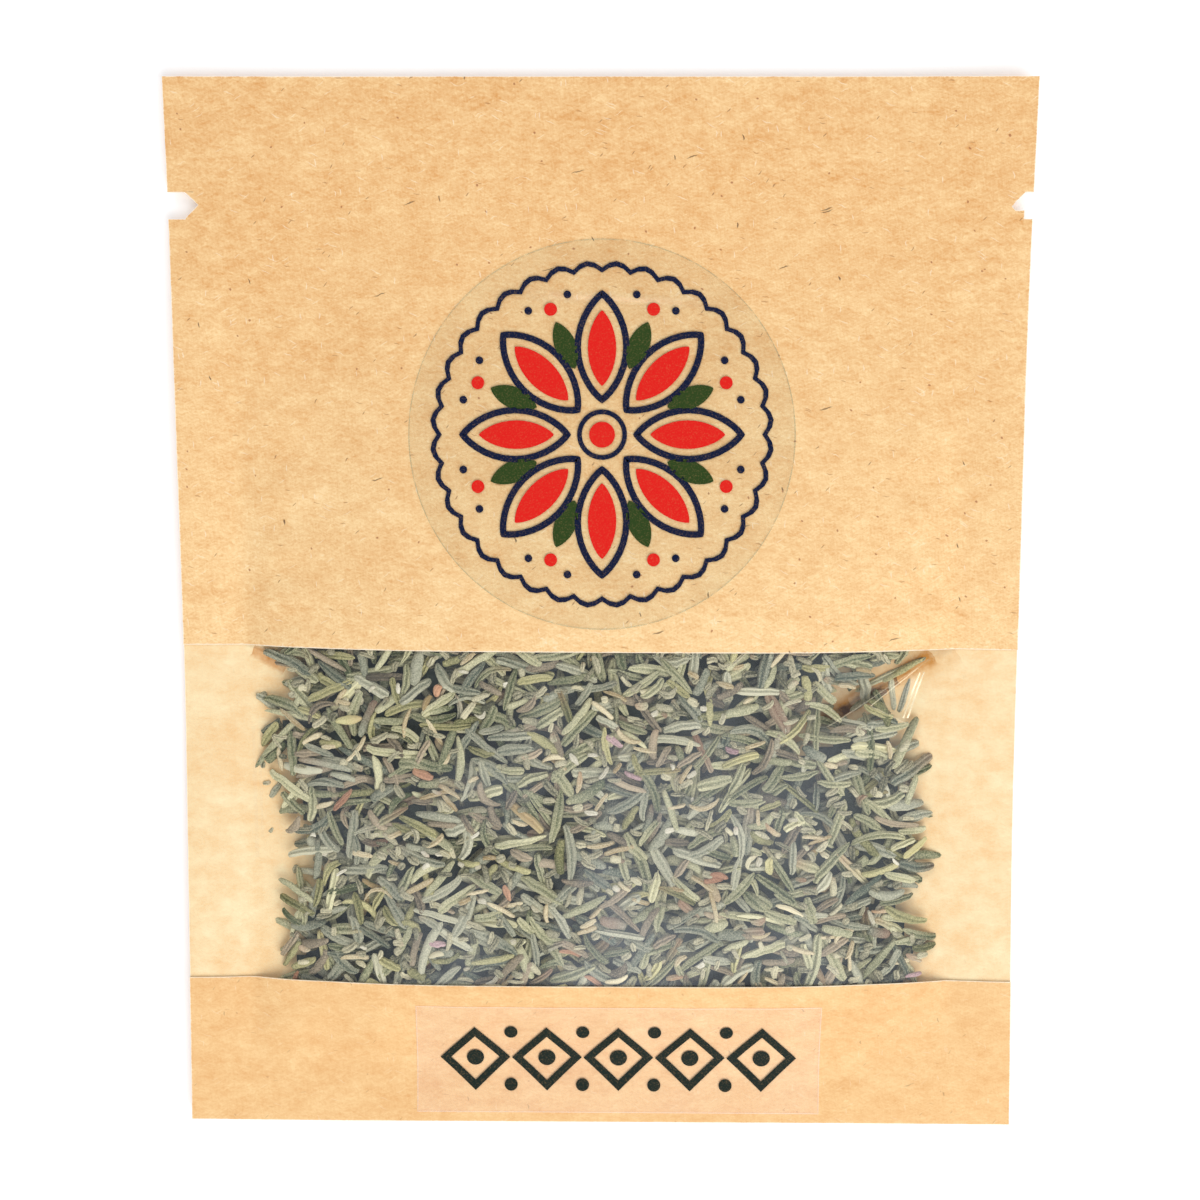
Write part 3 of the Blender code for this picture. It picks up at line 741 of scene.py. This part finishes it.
# Painted shade: the dust is painted nearly black green, as the depths between the leaves
painted_shade_range = {0: dust, 6: srgb("#1a2420"), 7: srgb("#5b675a")}
painted_shade_colour = node(core_finish, "Mix", painted_shade_range, data_type="RGBA").outputs[2]
feed(core_finish, core_shader.inputs["Base Color"], painted_shade_colour)
core_shader.inputs["Roughness"].default_value = 0.9
add_piece("thyme_core", core, core_finish, "dried_thyme", "leaf_fill")


# The front web: clear film from seal to seal. It is cast and glossy. Where it stands off the
# paper it has a faint milky haze, and where it is sealed down the haze goes.
FILM_STEP = 0.62 * MM
SEALED_SHARE = 0.012
HAZE_MOST = 0.045
# Painted sheen low down the window: its middle, and near and far reach, with the haze there and beyond
PAINTED_SHEEN_MIDDLE, PAINTED_SHEEN_NEAR, PAINTED_SHEEN_FAR = (-9, -32, 5), 12.0, 42.0  # in mm
PAINTED_SHEEN_HAZE, HAZE_BEYOND_SHEEN = 1.15, 0.30
FREE_RISE = 2.5 * MM  # above the paper, where the film hangs free
FREE_OF_LEAVES = 0.15  # share of the haze that stays beside the pile


def clear_plastic(name, gloss, roughness, look, *settings):
    """Clear plastic: most light goes through, and a share meets gloss and milky haze. The look
    gives that share and its colour from place to place."""
    finish, shader = new_finish(name)
    share, tint = look(finish, in_millimetres(finish), *settings)
    feed(finish, shader.inputs["Base Color"], tint)
    shader.inputs["Metallic"].default_value = gloss
    shader.inputs["Roughness"].default_value = roughness
    clear = node(finish, "BsdfTransparent", {}).outputs[0]
    mixed = node(finish, "MixShader", {0: share, 1: clear, 2: shader.outputs[0]}).outputs[0]
    feed(finish, finish.node_tree.nodes["Material Output"].inputs["Surface"], mixed)
    return finish


# Creases in the film at the fold, where it is doubled and whiter, and along the left seal. Their
# lines are painted pale and warm as painted highlights: ends and half width in mm, and how much
# they hide
FILM_CREASES_AND_HIGHLIGHTS = [
    ((38.2, -6.2), (36.3, -11.6), 0.13, 0.50),
    ((37.7, -6.2), (35.8, -11.6), 0.11, 0.40),
    ((26.6, -12.3), (38.8, -4.7), 0.07, 0.10),
    ((31.8, -10.0), (37.4, -5.6), 0.09, 0.18),
    ((31.8, -10.0), (36.2, -12.3), 0.07, 0.08),
    ((29.2, -9.4), (34.4, -6.2), 0.55, 0.05),
    ((35.6, -10.6), (37.2, -7.0), 0.90, 0.035),
    ((-41.4, -13.0), (-41.2, -29.0), 0.30, 0.02),
    ((-40.6, -15.0), (-40.5, -26.5), 0.25, 0.02),
]


def all_creases_and_highlights(finish, mm, creases_and_highlights):
    """How much each crease and its painted highlight hide, all together."""
    crease_and_highlight = 0.0
    for start, end, half_width, hidden in creases_and_highlights:
        crease = line_mask(finish, mm, start, end, half_width)
        sum_up = {0: crease, 1: hidden, 2: crease_and_highlight}
        crease_and_highlight = node(finish, "Math", sum_up, operation="MULTIPLY_ADD").outputs[0]
    return crease_and_highlight


def film_look(finish, mm, tint, crease_highlight_tint):
    """The haze is milky, and painted thickest low down the window as a painted sheen that stands in
    for the soft light's reflection there.
    """
    loose = node(finish, "Attribute", {}, attribute_name="loose").outputs["Fac"]
    clouds = {"Vector": mm, "Scale": 0.06, "Detail": 3.0, "Distortion": 0.8}
    cloud = node(finish, "TexNoise", clouds).outputs[0]
    hazy = {"Value": cloud, "From Min": 0.32, "From Max": 0.68, "To Max": HAZE_MOST}
    haze = node(finish, "MapRange", hazy).outputs[0]
    # Painted sheen: more haze near the lower middle of the window
    away = node(finish, "VectorMath", {0: mm, 1: PAINTED_SHEEN_MIDDLE}, operation="DISTANCE").outputs[1]
    fading = {"Value": away, "From Min": PAINTED_SHEEN_NEAR, "From Max": PAINTED_SHEEN_FAR}
    fading.update({"To Min": PAINTED_SHEEN_HAZE, "To Max": HAZE_BEYOND_SHEEN})
    painted_sheen = node(finish, "MapRange", fading).outputs[0]
    haze = node(finish, "Math", {0: haze, 1: painted_sheen}, operation="MULTIPLY").outputs[0]
    hanging = {0: haze, 1: loose, 2: SEALED_SHARE}
    share = node(finish, "Math", hanging, operation="MULTIPLY_ADD").outputs[0]
    crease_and_highlight = all_creases_and_highlights(finish, mm, FILM_CREASES_AND_HIGHLIGHTS)
    share = node(finish, "Math", {0: share, 1: crease_and_highlight}, operation="ADD").outputs[0]
    # Painted highlight: the crease lines take a warm white
    highlight_warmth = node(finish, "MapRange", {"Value": crease_and_highlight, "From Max": 0.08}).outputs[0]
    tints = {0: highlight_warmth, 6: srgb(tint), 7: srgb(crease_highlight_tint)}
    return share, node(finish, "Mix", tints, data_type="RGBA").outputs[2]


film = flat_web(BOTTOM, TOP, FILM_STEP, True)
lay(film, front_under, FILM)
# The film's haze is bluish white, and its creases carry a warm painted highlight
film_finish = clear_plastic("clear polypropylene film", 0.4, 0.3, film_look, "#e9f1fb", "#fff2cf")
film_piece = add_piece("window_film", film, film_finish, "clear_film", "front_film")
film_x, film_y = np.array([vert.co.xy for vert in film_piece.data.vertices]).T
looseness = np.clip(swell(film_x, film_y) / FREE_RISE, 0, 1)
over_pile = ease((inside_pile(film_x / MM, film_y / MM) + 1) / 2)
looseness *= FREE_OF_LEAVES + (1 - FREE_OF_LEAVES) * over_pile
loose_layer = film_piece.data.attributes.new("loose", "FLOAT", "POINT")
loose_layer.data.foreach_set("value", looseness.astype(np.float32))


# The kraft strips: the same paper as the back, laminated on the film above and below the
# window, with clean cut edges. The upper one carries the notches and the sealed top.
def strip_under(x, y):
    """Underside of a strip, on the film."""
    return front_under(x, y) + FILM + HAIR


upper = flat_web(WINDOW_HIGH, TOP, PAPER_STEP, True)
lay(upper, strip_under, PAPER, CUT_RIM)
# The upper strip is painted lighter towards the window, as painted light
upper_kraft = kraft_paper("kraft paper, upper strip", OUTER_SHADE, OUTER_LIGHT, painted_light=0.26)
add_piece("upper_strip", upper, upper_kraft, "kraft_upper", "front_upper_strip")

lower = flat_web(BOTTOM, WINDOW_LOW, PAPER_STEP, False)
lay(lower, strip_under, PAPER, CUT_RIM)
lower_kraft = kraft_paper("kraft paper, lower strip", "#e1a664", "#fbd69c", 0.65)
add_piece("lower_strip", lower, lower_kraft, "kraft_lower", "front_lower_strip")


# The round label: clear vinyl 45 mm across, die-cut and pressed on by hand. It carries a
# folk rosette printed in navy, red and green. One faint crease crosses it near the top, its line
# painted pale as a painted highlight.
LABEL = 0.08 * MM
LABEL_RIM = 0.2 * MM
INK = 0.012 * MM
LABEL_GAP, INK_GAP = 5 * HAIR, 3 * HAIR  # more than a hair, since their grids differ
GRID_STEP = 0.8 * MM
CREASE_RISE = 0.05 * MM
CREASE_RIDGE = ((-14.0, 37.6), (13.0, 36.4), 0.9)
# The warm white of the label crease's painted highlight
CREASE_HIGHLIGHT_TINT = "#fff3d6"
VINYL_GLOSS, VINYL_ROUGHNESS = 0.1, 0.35
round_low, round_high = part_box("round_label")
ROUND_CENTRE = ((round_low + round_high) / 2).xy
ROUND_RADIUS = (round_high.x - round_low.x) / 2


def label_under(x, y):
    """Underside of a label, on a strip."""
    crease = CREASE_RISE * ridge(x, y, *CREASE_RIDGE)
    return strip_under(x, y) + PAPER + LABEL_GAP + crease


def ink_under(x, y):
    """Underside of the print, on a label."""
    return label_under(x, y) + LABEL + INK_GAP


def cut_in_squares(bm, step):
    """Cuts a flat shape along a square grid, so that it can follow the bulge."""
    for axis in (0, 1):
        places = [vert.co[axis] for vert in bm.verts]
        for line in range(math.ceil(min(places) / step), math.floor(max(places) / step) + 1):
            at, along = Vector(), Vector()
            at[axis], along[axis] = line * step, 1.0
            geom = bm.verts[:] + bm.edges[:] + bm.faces[:]
            bmesh.ops.bisect_plane(bm, geom=geom, dist=0.002 * MM, plane_co=at, plane_no=along)


def add_disc(bm, middle, radius, sides=24):
    """A flat disc."""
    place = Matrix.Translation((*middle, 0))
    bmesh.ops.create_circle(bm, cap_ends=True, segments=sides, radius=radius, matrix=place)


def hollow_out(bm, face, width):
    """Leaves only a rim of a given width of a flat face."""
    rim = bmesh.ops.inset_region(bm, faces=[face], thickness=width, use_boundary=True)["faces"]
    bmesh.ops.delete(bm, geom=[face], context="FACES_ONLY")
    return {vert for part in rim for vert in part.verts}


def add_band(bm, middle, radius, width, sides=96, lobes=0, lobe_height=0.0):
    """A printed ring, plain or scalloped."""
    place = Matrix.Translation((*middle, 0))
    disc = bmesh.ops.create_circle(bm, cap_ends=True, segments=sides, radius=radius, matrix=place)
    for vert in hollow_out(bm, disc["verts"][0].link_faces[0], width):
        if lobes:
            out = vert.co.xy - Vector(middle)
            push = lobe_height * abs(math.sin(0.5 * lobes * math.atan2(out.y, out.x)))
            vert.co.xy = Vector(middle) + out * (1 + push / out.length)


def add_petal(bm, middle, turn, start, end, half_width, outline=0.0):
    """A lens pointing away from the middle, filled, or drawn in outline."""
    ring = bmesh.ops.create_circle(bm, cap_ends=True, segments=32, radius=1.0)["verts"]
    for vert in ring:
        u, v = vert.co.x, vert.co.y
        vert.co.x = 0.5 * (start + end) + 0.5 * (end - start) * u
        vert.co.y = half_width * v * abs(v) ** 0.6
    bmesh.ops.rotate(bm, verts=ring, matrix=Matrix.Rotation(turn, 3, "Z"))
    bmesh.ops.translate(bm, verts=ring, vec=(*middle, 0))
    if outline:
        hollow_out(bm, ring[0].link_faces[0], outline)


def printed(name, colour):
    """Screen ink on vinyl: satin and dense, with pinholes where the screen's weave stopped it.
    They are drawn about 0.17 mm wide, so that they show."""
    finish, shader = new_finish(name)
    mm = in_millimetres(finish)
    speck = node(finish, "TexNoise", {"Vector": mm, "Scale": 6.0, "Detail": 2.0}).outputs[0]
    pinholes = {"Value": speck, "From Min": 0.52, "From Max": 0.8, "To Max": 0.20}
    pinhole = node(finish, "MapRange", pinholes).outputs[0]
    tints = {0: pinhole, 6: srgb(colour), 7: srgb("#c9a06c")}
    mixed = node(finish, "Mix", tints, data_type="RGBA").outputs[2]
    feed(finish, shader.inputs["Base Color"], mixed)
    shader.inputs["Roughness"].default_value = 0.5
    shader.inputs["Specular IOR Level"].default_value = 0.1
    return finish


def add_print(name, bm, colour, slot):
    """Lays flat shapes on a label as a film of ink."""
    cut_in_squares(bm, GRID_STEP)
    lay(bm, ink_under, INK)
    add_piece(name, bm, printed(f"{name.replace('_', ' ')} ink", colour), slot)


def vinyl_look(finish, mm, milky, tint, creases_and_highlights=()):
    """A little more hides along the die-cut edge, which stands up, and along a crease, whose line
    is painted pale as a painted highlight.
    """
    cut = node(finish, "Attribute", {}, attribute_name="cut").outputs["Fac"]
    edge_share = {"Value": cut, "From Min": 0.2, "From Max": 1.0, "To Min": milky, "To Max": milky + 0.2}
    rim = node(finish, "MapRange", edge_share).outputs[0]
    cloud = node(finish, "TexNoise", {"Vector": mm, "Scale": 0.15, "Detail": 2.0}).outputs[0]
    share = node(finish, "Math", {0: cloud, 1: 0.04, 2: rim}, operation="MULTIPLY_ADD").outputs[0]
    if not creases_and_highlights:
        return share, srgb(tint)
    crease_and_highlight = all_creases_and_highlights(finish, mm, creases_and_highlights)
    share = node(finish, "Math", {0: share, 1: crease_and_highlight}, operation="ADD").outputs[0]
    # Painted highlight: the crease line takes a warm white
    part = node(finish, "Math", {0: crease_and_highlight, 1: 12.0}, operation="MULTIPLY", use_clamp=True).outputs[0]
    tints = {0: part, 6: srgb(tint), 7: srgb(CREASE_HIGHLIGHT_TINT)}
    return share, node(finish, "Mix", tints, data_type="RGBA").outputs[2]


# The round label's crease, painted pale as a painted highlight, fades at both ends: ends and
# half width in mm, how much each hides
LABEL_CREASES_AND_HIGHLIGHTS = [
    ((-8.6, 37.9), (12.0, 36.9), 0.9, 0.03),
    ((-6.0, 37.8), (9.5, 37.0), 0.5, 0.03),
    ((-3.0, 37.6), (7.0, 37.1), 0.25, 0.03),
]
label = bmesh.new()
add_disc(label, ROUND_CENTRE, ROUND_RADIUS, 128)
bmesh.ops.inset_region(label, faces=label.faces[:], thickness=LABEL_RIM, use_boundary=True)
cut_in_squares(label, GRID_STEP)
lay(label, label_under, LABEL)
round_vinyl = clear_plastic(
    "clear vinyl, round label", VINYL_GLOSS, VINYL_ROUGHNESS, vinyl_look, 0.02, "#8faa95", LABEL_CREASES_AND_HIGHLIGHTS
)
add_piece("label_round", label, round_vinyl, "round_vinyl", "round_label")

PETALS, SCALLOPS = 8, 36
DOT_RING, SMALL_DOT_RING, SMALL_DOT_TURN = 15.6 * MM, 16.6 * MM, math.radians(8.5)
navy, red, green = bmesh.new(), bmesh.new(), bmesh.new()
add_band(
    navy, ROUND_CENTRE, radius=19.2 * MM, width=0.6 * MM, sides=144, lobes=SCALLOPS, lobe_height=0.8 * MM
)
add_band(navy, ROUND_CENTRE, radius=2.9 * MM, width=0.55 * MM, sides=48)
add_disc(red, ROUND_CENTRE, radius=1.5 * MM)
for petal in range(PETALS):
    turn = math.tau * petal / PETALS
    between = turn + math.pi / PETALS
    outward = Vector((math.cos(between), math.sin(between)))
    add_petal(
        navy, ROUND_CENTRE, turn, start=3.6 * MM, end=16.6 * MM, half_width=3.2 * MM, outline=0.75 * MM
    )
    add_petal(red, ROUND_CENTRE, turn, start=5.6 * MM, end=14.3 * MM, half_width=1.65 * MM)
    add_petal(green, ROUND_CENTRE, between, start=8.2 * MM, end=14.0 * MM, half_width=1.25 * MM)
    add_disc(red, ROUND_CENTRE + DOT_RING * outward, radius=0.75 * MM)
    for side in (-1, 1):
        beside = between + side * SMALL_DOT_TURN
        dot = Vector((math.cos(beside), math.sin(beside)))
        add_disc(navy, ROUND_CENTRE + SMALL_DOT_RING * dot, radius=0.45 * MM, sides=16)
add_print("rosette_navy", navy, "#071535", "round_vinyl")
add_print("rosette_red", red, "#e01e17", "round_vinyl")
add_print("rosette_green", green, "#2c4218", "round_vinyl")


# The oblong label: a strip of the same clear vinyl, stuck on a touch askew, with a plain
# border of lozenges and dots in dark green ink.
OBLONG_TURN = math.radians(-0.4)
OBLONG_SIZE = Vector((49.0 * MM, 14.0 * MM))
oblong_low, oblong_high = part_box("oblong_label")
OBLONG_CENTRE = ((oblong_low + oblong_high) / 2).xy

oblong = bmesh.new()
bmesh.ops.create_grid(oblong, x_segments=61, y_segments=17, size=0.5)
bmesh.ops.scale(oblong, verts=oblong.verts, vec=(*OBLONG_SIZE, 1))
bmesh.ops.rotate(oblong, verts=oblong.verts, matrix=Matrix.Rotation(OBLONG_TURN, 3, "Z"))
bmesh.ops.translate(oblong, verts=oblong.verts, vec=(*OBLONG_CENTRE, 0))
lay(oblong, label_under, LABEL, LABEL_RIM)
oblong_vinyl = clear_plastic(
    "milky clear vinyl, oblong label", VINYL_GLOSS, VINYL_ROUGHNESS, vinyl_look, 0.045, "#fff1ea"
)
add_piece("label_oblong", oblong, oblong_vinyl, "oblong_vinyl", "oblong_label")

LOZENGES = 5
LOZENGE_PITCH = 8.7 * MM
DOTS_OFF = 3.5 * MM  # from the border's middle line
border = bmesh.new()
along_label = Vector((math.cos(OBLONG_TURN), math.sin(OBLONG_TURN)))
across_label = along_label.orthogonal()
for lozenge in range(LOZENGES):
    offset = lozenge - (LOZENGES - 1) / 2
    middle = OBLONG_CENTRE + offset * LOZENGE_PITCH * along_label
    add_band(border, middle, radius=4.25 * MM, width=1.3 * MM, sides=4)
    add_disc(border, middle, radius=1.05 * MM)
    for side in (-1, 1) if lozenge < LOZENGES - 1 else ():
        beside = middle + 0.5 * LOZENGE_PITCH * along_label + side * DOTS_OFF * across_label
        add_disc(border, beside, radius=0.8 * MM)
add_print("lozenge_border", border, "#16231d", "oblong_vinyl")


# The stage: a plain white table, faintly lit through as on a light table, a broad soft light
# from the foot end, a weaker one from the head, and even light from all round.
TABLE_HALF = 2.0
TABLE_GAP = 0.05 * MM
TABLE_GLOW = 0.2
table_form = bmesh.new()
bmesh.ops.create_grid(table_form, x_segments=1, y_segments=1, size=TABLE_HALF)
bmesh.ops.translate(table_form, verts=table_form.verts, vec=(0, 0, -TABLE_GAP))
table_finish, table_shader = new_finish("white table")
table_shader.inputs["Base Color"].default_value = srgb("#fafafa")
table_shader.inputs["Roughness"].default_value = 0.8
table_shader.inputs["Emission Color"].default_value = srgb("#ffffff")
table_shader.inputs["Emission Strength"].default_value = TABLE_GLOW
table_mesh = bpy.data.meshes.new("table")
table_form.to_mesh(table_mesh)
table_form.free()
table_mesh.materials.append(table_finish)
table = bpy.data.objects.new("table", table_mesh)
bpy.context.scene.collection.objects.link(table)


def add_softbox(name, place, size, power):
    """A round soft light that faces the sachet's middle."""
    lamp = bpy.data.lights.new(name, "AREA")
    lamp.shape, lamp.size, lamp.energy = "DISK", size, power
    softbox = bpy.data.objects.new(name, lamp)
    softbox.location = place
    softbox.rotation_mode = "QUATERNION"
    softbox.rotation_quaternion = Vector(place).to_track_quat("Z", "Y")
    bpy.context.scene.collection.objects.link(softbox)


add_softbox("softbox at the foot", place=(0.28, -0.40, 0.56), size=0.8, power=4.6)
add_softbox("softbox at the head", place=(-0.25, 0.60, 0.70), size=0.4, power=1.8)
surroundings = bpy.data.worlds.new("studio")
surroundings.use_nodes = True
even_light = surroundings.node_tree.nodes["Background"]
even_light.inputs["Color"].default_value = srgb("#f6f9ff")
even_light.inputs["Strength"].default_value = 0.5
bpy.context.scene.world = surroundings
bpy.context.scene.view_settings.view_transform = "Standard"

# The camera looks down on the sachet, tilted a little towards its foot
CAMERA_PLACE = (-0.04 * MM, 34.6 * MM, 236.7 * MM)
CAMERA_TILT = math.radians(-7.84)
camera = bpy.data.objects.new("camera", bpy.data.cameras.new("camera"))
camera.location = CAMERA_PLACE
camera.rotation_euler = (CAMERA_TILT, 0, 0)
camera.data.sensor_width = 36.0
camera.data.lens = 60.28
camera.data.clip_start = 10 * MM
bpy.context.scene.collection.objects.link(camera)
bpy.context.scene.camera = camera
